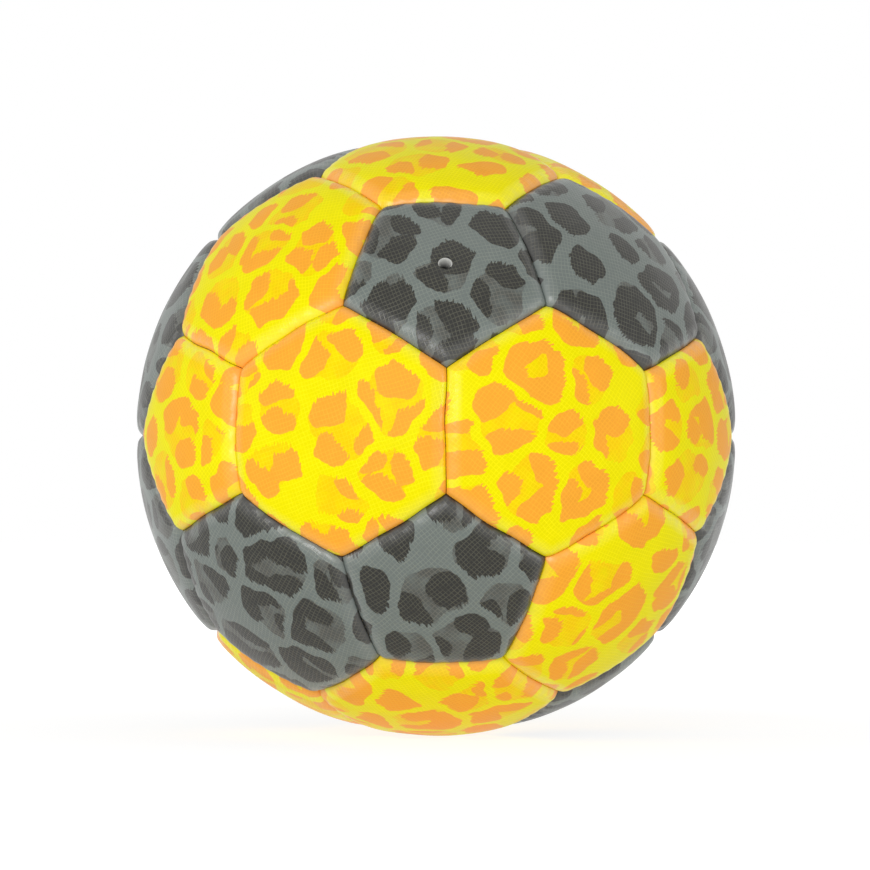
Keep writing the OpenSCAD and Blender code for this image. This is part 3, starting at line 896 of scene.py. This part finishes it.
def printed_leather(name, ground, spot, tone, ridge, gloss, lift, prints):
    """Polyurethane-coated synthetic leather, printed and then roller embossed with a fine cross grain.

    It is semi-matte with a soft sheen, and glossier where it is stretched over the roll beside a seam.
    The grain's thin ridges carry a painted highlight a little paler than the ink beside them, and fade out
    close to the seam.
    The print's spots end in short hairs on the side that the fur would lie towards.
    """
    material, add = new_material(name)
    cloth = add("UVMap", uv_map="Cloth")
    spot_at, tone_at, seam, fray = (
        add("Attribute", attribute_name=key).outputs["Fac"] for key in ("spot", "tone", "seam", "fray"))

    # the hairs and the grain's ridges bend by a few millimetres over the panel
    drift = add("TexNoise", {"Vector": cloth, "Scale": CLOTH_MM / 13, "Detail": 1}, noise_dimensions="2D")
    bent = {}
    for key, bend in (("hair", 7 / CLOTH_MM), ("grain", 2 / CLOTH_MM)):
        bent[key] = add("VectorMath", {0: drift.outputs["Color"], 1: (bend, bend, 0), 2: cloth},
                        operation="MULTIPLY_ADD")
    noise = {}
    for key, place, width, run, detail in (
        ("hair", bent["hair"], prints.hair, 5, 0), ("cut", cloth, 2.2, 1, 2), ("wear", cloth, 5, 1, 2),
        ("cloud", cloth, 9, 1, 3), ("broken", cloth, 2.5, 1, 1), ("fine", cloth, 0.25, 1, 2),
    ):
        scaled = add("Mapping", {"Vector": place, "Scale": (CLOTH_MM / width / run, CLOTH_MM / width, 1)})
        noise[key] = add("TexNoise", {"Vector": scaled, "Scale": 1, "Detail": detail}, noise_dimensions="2D")

    # each part is its source times gain plus start, and some are kept between 0 and 1
    part = {}
    for key, source, gain, start, clamp in (
        ("strand", noise["hair"], 3.2 * prints.fray, -1.5 * prints.fray, False),
        ("lies", fray, 0.9, 0.1, True), ("wobble", noise["cut"], 0.9, -0.45, False),
        ("worn", noise["wear"], 1.5, 0.05, True), ("broken", noise["broken"], 1.6, 0.1, True),
        ("away", seam, 0.8, -0.2, True), ("patchy", noise["cloud"], 0.1, 0.95, False),
        ("rough", noise["cloud"], 0.1, prints.roughness - 0.05, False),
        ("stretched", seam, -0.3, 1.25, True),
    ):
        part[key] = add("Math", {0: source, 1: gain, 2: start}, operation="MULTIPLY_ADD", use_clamp=clamp)

    # ragged: how far the print's edge is pushed out, by hairs on one side and a little all round
    ragged = add("Math", {0: part["strand"], 1: part["lies"], 2: part["wobble"]}, operation="MULTIPLY_ADD")
    in_spot, in_tone = (
        add("Math", {0: add("Math", {0: at, 1: ragged}), 1: -EDGE_SHARP, 2: 0.5},
            operation="MULTIPLY_ADD", use_clamp=True)
        for at in (spot_at, tone_at))
    toned = add("Math", {0: in_tone, 1: part["worn"]}, operation="MULTIPLY")
    under = add("Mix", {0: toned, MIX_A: ground, MIX_B: tone}, data_type="RGBA").outputs[MIX_OUT]
    inked = add("Mix", {0: in_spot, MIX_A: under, MIX_B: spot}, data_type="RGBA").outputs[MIX_OUT]

    ridges = crossed_ridges(add, bent["grain"], prints.grain_along, prints.grain_across, GRAIN_TURN)
    clear = add("Math", {0: part["broken"], 1: part["away"]}, operation="MULTIPLY")
    raised = add("Math", {0: ridges, 1: clear}, operation="MULTIPLY")
    # painted highlight on the ridge tops: the ink is mixed towards the paler ridge colour and brightened,
    # along with the random patchy tone
    paler = add("Math", {0: raised, 1: lift}, operation="MULTIPLY")
    lifted = add("Mix", {0: paler, MIX_A: inked, MIX_B: ridge}, data_type="RGBA").outputs[MIX_OUT]
    tone_and_highlight_level = add("Math", {0: raised, 1: 2 * lift, 2: part["patchy"]}, operation="MULTIPLY_ADD")
    base = add("VectorMath", {0: lifted, "Scale": tone_and_highlight_level}, operation="SCALE")
    height = add("Math", {0: noise["fine"], 1: FINE_SHARE, 2: raised}, operation="MULTIPLY_ADD")
    shine = add("Math", {0: part["stretched"], 1: prints.edge_gloss, 2: gloss}, operation="MULTIPLY_ADD")
    finish_material(add, base, part["rough"], height, 0.05, shine)
    return material


def knitted_lining(name="Polyester, knitted lining"):
    """Knitted polyester that the leather's coating sits on: off-white and matte, in fine ribs.

    The loops are 0.4 mm apart in the real one and drawn at 0.8 mm, to show.
    """
    return two_toned(name, lambda add: crossed_ridges(add, add("UVMap", uv_map="Cloth"), 0.8, 0.8, 0),
                     "BFBCB3", "DCD9D0", roughness=0.9, depth=0.06, specular=0.2)


def closed_cell_foam(name="EVA foam, closed cell"):
    """Sheet foam split from a block: cream, dull, with the cut cells as tiny pits.

    The cells are 0.3 mm across in the real one and drawn at 0.7 mm, to show.
    """
    return two_toned(
        name, lambda add: add("TexVoronoi", {"Vector": add("TexCoord").outputs["Object"],
                                             "Scale": 1 / (0.7 * MM)}),
        "D9D1BA", "EFE8D6", roughness=0.85, depth=0.1, specular=0.25)


def woven_cloth(name="Polycotton, woven and glued"):
    """Plain-woven polycotton soaked with glue: grey-white threads over and under, slightly stiff and dull.

    The threads are 0.5 mm apart in the real one and drawn at 0.9 mm, to show.
    """
    material, add = new_material(name)
    threads = crossed_ridges(add, add("UVMap", uv_map="Cloth"), 0.9, 0.9, math.radians(12))
    place = add("TexCoord").outputs["Object"]
    glue = add("TexNoise", {"Vector": place, "Scale": 1 / (6 * MM), "Detail": 2})
    base = add("Mix", {0: threads, MIX_A: linear("ABA89F"), MIX_B: linear("CFCDC5")}, data_type="RGBA")
    rough = add("Math", {0: glue, 1: -0.4, 2: 0.95}, operation="MULTIPLY_ADD")
    finish_material(add, base.outputs[MIX_OUT], rough, threads, 0.12, 0.3)
    return material


def waxed_thread(name, dark, light):
    """Twisted polyester thread drawn through wax: fibres with a low, greasy shine."""
    return two_toned(
        name, lambda add: add("TexNoise", {"Vector": add("TexCoord").outputs["Object"],
                                           "Scale": 1 / (0.25 * MM), "Detail": 2}),
        dark, light, roughness=0.5, depth=0.05)


def rubber_skin(add, dark, light, roughness, bloom):
    """Colour and roughness that vary in clouds of a size in millimetres, and the mould's texture."""
    place = add("TexCoord").outputs["Object"]
    cloud, grit = (add("TexNoise", {"Vector": place, "Scale": 1 / (size * MM), "Detail": 3})
                   for size in (bloom, RUBBER_GRIT))
    base = add("Mix", {0: cloud, MIX_A: linear(dark), MIX_B: linear(light)}, data_type="RGBA")
    rough = add("Math", {0: cloud, 1: 0.2, 2: roughness - 0.1}, operation="MULTIPLY_ADD")
    return base.outputs[MIX_OUT], rough, grit


def moulded_rubber(name, dark, light, roughness, bloom, pits):
    """Rubber moulded under heat: an even colour with a powdery bloom in clouds, and a fine mould texture.

    bloom is the size of a cloud and pits the depth of the texture, in millimetres.
    """
    material, add = new_material(name)
    finish_material(add, *rubber_skin(add, dark, light, roughness, bloom), pits)
    return material


def oiled_core_rubber(name="Silicone rubber, moulded and oiled"):
    """Soft moulded rubber, pale grey and smooth with a satin shine, greased to seal in its boot.

    The funnel is painted darker towards the needle's hole as painted shade in the recess, and the hole is
    painted nearly black as its shadow.
    """
    material, add = new_material(name)
    unshaded_rubber, rough, grit = rubber_skin(add, "D2D2CD", "E6E6E2", roughness=0.38, bloom=1.5)
    depth = add("Attribute", attribute_name="depth").outputs["Fac"]
    painted_shade = add("Math", {0: depth, 1: 0.75}, operation="POWER")
    # painted shade: towards the needle's hole the rubber is mixed to near black, standing in for the shadow
    # deep in the recess
    base = add("Mix", {0: painted_shade, MIX_A: unshaded_rubber, MIX_B: linear("1B1915")}, data_type="RGBA")
    finish_material(add, base.outputs[MIX_OUT], rough, grit, 0.01)
    return material


def shared_material(name, make):
    """The material of that name, made when it is first asked for."""
    return bpy.data.materials.get(name) or make(name)


def leather_of(node, prints):
    """The leather of a panel's node: its print follows the record's material slot."""
    shade = SLOT_OF[node].removesuffix("_print")
    # the ridge and lift inks are the painted highlight on the grain's ridges
    inks = [getattr(prints, f"{shade}_{ink}") for ink in ("ground", "spot", "tone", "ridge", "gloss", "lift")]
    return shared_material(f"PU leather, {shade} print", lambda name: printed_leather(name, *inks, prints))


def make_panels(kind):
    """Builds the leather panels of one kind, each in place of its node in the frame."""
    panels, prints, _ = ball_sizes()
    lining = shared_material("Polyester, knitted lining", knitted_lining)
    for index in range(COUNTS[kind]):
        node = f"{kind}_{index + 1:02d}"
        points, faces, slots, floats, flat = leather_panel(kind, index, panels, prints)
        new_piece(f"Leather_{node}", points, faces, [leather_of(node, prints), lining], "ball", node,
                  slots, floats, flat)


def refinish(node, material):
    """Gives a node of the frame, whose shape is right, its finished material."""
    slots = frame["nodes"][node].data.materials
    slots.clear()
    slots.append(material)


class HandballPentagons(bpy.types.Operator):
    """Build the twelve pentagon panels"""
    bl_idname = "handball.pentagons"
    bl_label = "Pentagon panels"

    def execute(self, context):
        make_panels("pent")
        return {"FINISHED"}


class HandballHexagons(bpy.types.Operator):
    """Build the twenty hexagon panels"""
    bl_idname = "handball.hexagons"
    bl_label = "Hexagon panels"

    def execute(self, context):
        make_panels("hex")
        return {"FINISHED"}


class HandballFoam(bpy.types.Operator):
    """Build the foam pad under each panel"""
    bl_idname = "handball.foam"
    bl_label = "Foam pads"

    def execute(self, context):
        inner = ball_sizes()[2]
        foam = closed_cell_foam()
        for kind in COUNTS:
            pads = layer_piece("Foam", kind, foam, inner.foam_r, inner.foam, rounding=0.7,
                               wave=inner.foam_wave, recess=inner.ring + inner.glue_gap)
        return {"FINISHED"}


class HandballBacking(bpy.types.Operator):
    """Build the laminated backing cloth under each foam pad"""
    bl_idname = "handball.backing"
    bl_label = "Backing cloth"

    def execute(self, context):
        inner = ball_sizes()[2]
        cloth = shared_material("Polycotton, woven and glued", woven_cloth)
        for kind in COUNTS:
            layer_piece("Backing", kind, cloth, inner.backing_r, inner.backing, rounding=0.2)
        return {"FINISHED"}


class HandballStitching(bpy.types.Operator):
    """Build the cord under the seams and the stitches that cross them"""
    bl_idname = "handball.stitching"
    bl_label = "Stitching"

    def execute(self, context):
        panels, _, inner = ball_sizes()
        points, faces = seam_cords(inner)
        new_piece("Seam_cord", points, faces, [waxed_thread("Polyester cord, waxed", "211F1D", "37352F")],
                  "ball", "seam_cord")
        points, faces = seam_stitches(panels, inner)
        new_piece("Stitches", points, faces, [waxed_thread("Polyester thread, waxed", "5E5443", "8A8069")],
                  "ball", "seam_cord")
        return {"FINISHED"}


class HandballBladder(bpy.types.Operator):
    """Build the rubber bladder with its hole for the valve"""
    bl_idname = "handball.bladder"
    bl_label = "Bladder"

    def execute(self, context):
        inner = ball_sizes()[2]
        first, second, out = panel_axes("pent", VALVE_PENT)
        points, faces = turned(*bladder_outline(inner), (first, -second, -out), BLADDER_AROUND)
        rubber = moulded_rubber("Butyl rubber, moulded", "232322", "3A3A38", 0.6, 9, 0.02)
        new_piece("Bladder_shell", points, faces, [rubber], "ball", "bladder")
        return {"FINISHED"}


class HandballBalancePatch(bpy.types.Operator):
    """Finish the balance patch opposite the valve"""
    bl_idname = "handball.balance_patch"
    bl_label = "Balance patch"

    def execute(self, context):
        rubber = moulded_rubber("Natural rubber, moulded patch", "2B2A28", "403E3A", 0.7, 5, 0.04)
        refinish("balance_patch", rubber)
        return {"FINISHED"}


class HandballValveRing(bpy.types.Operator):
    """Build the cloth ring that strengthens the leather around the valve"""
    bl_idname = "handball.valve_ring"
    bl_label = "Valve ring"

    def execute(self, context):
        inner = ball_sizes()[2]
        axes = panel_axes("pent", VALVE_PENT)
        points, faces = turned(*ring_outline(inner), axes, RING_AROUND)
        cloth = shared_material("Polycotton, woven and glued", woven_cloth)
        new_piece("Valve_ring_cloth", points, faces, [cloth], "ball", "valve_ring", flat=points @ axes[:2].T)
        return {"FINISHED"}


class HandballValveBoot(bpy.types.Operator):
    """Finish the moulded boot that holds the valve's core"""
    bl_idname = "handball.valve_boot"
    bl_label = "Valve boot"

    def execute(self, context):
        rubber = moulded_rubber("Natural rubber, moulded boot", "262624", "393733", 0.55, 4, 0.02)
        refinish("valve_boot", rubber)
        return {"FINISHED"}


class HandballValveCore(bpy.types.Operator):
    """Build the removable core of the valve"""
    bl_idname = "handball.valve_core"
    bl_label = "Valve core"

    def execute(self, context):
        panels, _, inner = ball_sizes()
        r, z, depth = core_outline(panels, inner)
        points, faces = turned(r, z, panel_axes("pent", VALVE_PENT), CORE_AROUND)
        # the depth values carry the funnel's painted shade
        depths = np.append(np.repeat(depth[1:-1], CORE_AROUND), depth[[0, -1]])
        new_piece("Core_plug", points, faces, [oiled_core_rubber()], "core", "valve_core",
                  floats={"depth": depths})
        return {"FINISHED"}


class HandballStage(bpy.types.Operator):
    """Set the floor, the lamps, the sky and the camera"""
    bl_idname = "handball.stage"
    bl_label = "Stage"

    def execute(self, context):
        stage = plain_sizes(context.scene.handball_stage)
        make_floor(stage)
        make_lamps(stage)
        make_camera(stage)
        return {"FINISHED"}


def seen_directly(add):
    """1 for rays from the camera, its reflections and what it sees through, and 0 for the light's own."""
    path = add("LightPath")
    seen = add("Math", {0: path.outputs["Is Camera Ray"], 1: path.outputs["Is Glossy Ray"]},
               operation="MAXIMUM")
    return add("Math", {0: seen, 1: path.outputs["Is Transmission Ray"]}, operation="MAXIMUM")


def make_floor(stage):
    """A wide white light table under the ball. The camera sees it white but for the ball's shadow."""
    half, low = 4.0, CAD_BOX[0][2]
    near, far = 0.15, 0.5  # metres from the ball between which the shadow fades out
    least, strength = 0.66, 1.27  # the glow's share near the ball, and its strength
    mesh = bpy.data.meshes.new("Floor")
    mesh.from_pydata([(-half, -half, low), (half, -half, low), (half, half, low), (-half, half, low)],
                     [], [(0, 1, 2, 3)])
    floor = new_object("Floor", mesh)
    material, add = new_material("Acrylic, opal light table")
    away = add("VectorMath", {0: add("TexCoord").outputs["Object"]}, operation="LENGTH").outputs["Value"]
    white = add("MapRange", {"Value": away, "From Min": near, "From Max": far, "To Min": least, "To Max": 1})
    further = add("Math", {0: white, 1: stage.table}, operation="SUBTRACT")
    glowing = add("Math", {0: seen_directly(add), 1: further, 2: stage.table}, operation="MULTIPLY_ADD")
    matt = add("BsdfDiffuse", {"Color": linear("EDEDED")})
    glow = add("Emission", {"Strength": strength})
    add("OutputMaterial", {"Surface": add("MixShader", {0: glowing, 1: matt, 2: glow})})
    mesh.materials.append(material)


def make_lamps(stage):
    """A large key lamp beside the camera, softer ones overhead, at the sides and low in front, and a sky.

    The camera and reflections see the sky white, and matte surfaces are lit evenly at its set strength.
    """
    scene = bpy.context.scene
    for name, place, size, power in (
        ("Key", (-0.36, -1.18, 0.3), 0.5, stage.key_power),
        ("Top", (0.1, -0.3, 1.3), 0.7, stage.top_power),
        ("Left", (-1.3, -0.3, 0.3), 0.5, stage.fill_power),
        ("Right", (1.3, -0.4, 0.2), 0.5, stage.fill_power),
        ("Low front", (0.2, -1.5, 0.05), 0.7, stage.fill_power),
    ):
        lamp = bpy.data.lights.new(name, "AREA")
        lamp.size, lamp.energy = size, power
        holder = new_object(name, lamp)
        holder.location = place
        holder.rotation_euler = (-Vector(place)).to_track_quat("-Z", "Y").to_euler()
    scene.world = bpy.data.worlds.new("Sky")
    add = empty_tree(scene.world)
    strength = add("Math", {0: seen_directly(add), 1: 1 - stage.sky, 2: stage.sky}, operation="MULTIPLY_ADD")
    light = add("Background", {"Color": linear("FFFFFF"), "Strength": strength})
    add("OutputWorld", {"Surface": light})


def make_camera(stage):
    """The photograph's camera: it looks along +Y at the ball's centre from about a metre away."""
    data = bpy.data.cameras.new("Camera")
    camera = new_object("Camera", data)
    bpy.context.scene.camera = camera
    radius = ball_sizes()[0].radius
    to_rim = math.sqrt(stage.distance ** 2 - radius ** 2)
    focal_px = stage.ball_px * to_rim / radius
    data.lens = focal_px * data.sensor_width / stage.frame_px
    middle = stage.frame_px / 2
    data.shift_x = (middle - stage.centre_x_px) / stage.frame_px
    data.shift_y = (stage.centre_y_px - middle) / stage.frame_px
    data.clip_start, data.clip_end = 0.05, 20
    turned_by = (Matrix.Rotation(-stage.turn, 4, "Z") @ Matrix.Rotation(-stage.lift, 4, "X")
                 @ Matrix.Rotation(stage.roll, 4, "Y"))
    camera.matrix_world = (turned_by @ Matrix.Translation((0, -stage.distance * MM, 0))
                           @ Matrix.Rotation(math.pi / 2, 4, "X"))


class HandballPanel(bpy.types.Panel):
    """The handball's sizes, colours and makers in the sidebar"""
    bl_label = "Handball"
    bl_idname = "HANDBALL_PT_main"
    bl_space_type = "VIEW_3D"
    bl_region_type = "UI"
    bl_category = "Handball"

    def draw(self, context):
        for name in GROUPS:
            group = getattr(context.scene, name)
            box = self.layout.box()
            for prop in own_props(group):
                box.prop(group, prop.identifier)
        for maker in MAKERS:
            self.layout.operator(maker.bl_idname)


GROUPS = {
    "handball_panels": HandballPanelSizes,
    "handball_print": HandballPrintSizes,
    "handball_inner": HandballInnerSizes,
    "handball_stage": HandballStageSizes,
}
MAKERS = (
    HandballPentagons, HandballHexagons, HandballFoam, HandballBacking, HandballStitching, HandballBladder,
    HandballBalancePatch, HandballValveRing, HandballValveBoot, HandballValveCore, HandballStage,
)


def register():
    for item in (*GROUPS.values(), *MAKERS, HandballPanel):
        bpy.utils.register_class(item)
    for name, group in GROUPS.items():
        setattr(bpy.types.Scene, name, PointerProperty(type=group))


def unregister():
    for name in GROUPS:
        delattr(bpy.types.Scene, name)
    for item in reversed((*GROUPS.values(), *MAKERS, HandballPanel)):
        bpy.utils.unregister_class(item)


def main():
    """Registers the classes, makes everything in order and sets the Standard view transform."""
    register()
    for maker in MAKERS:
        group, name = maker.bl_idname.split(".")
        getattr(getattr(bpy.ops, group), name)()
    bpy.context.scene.view_settings.view_transform = "Standard"


if __name__ == "__main__":
    main()
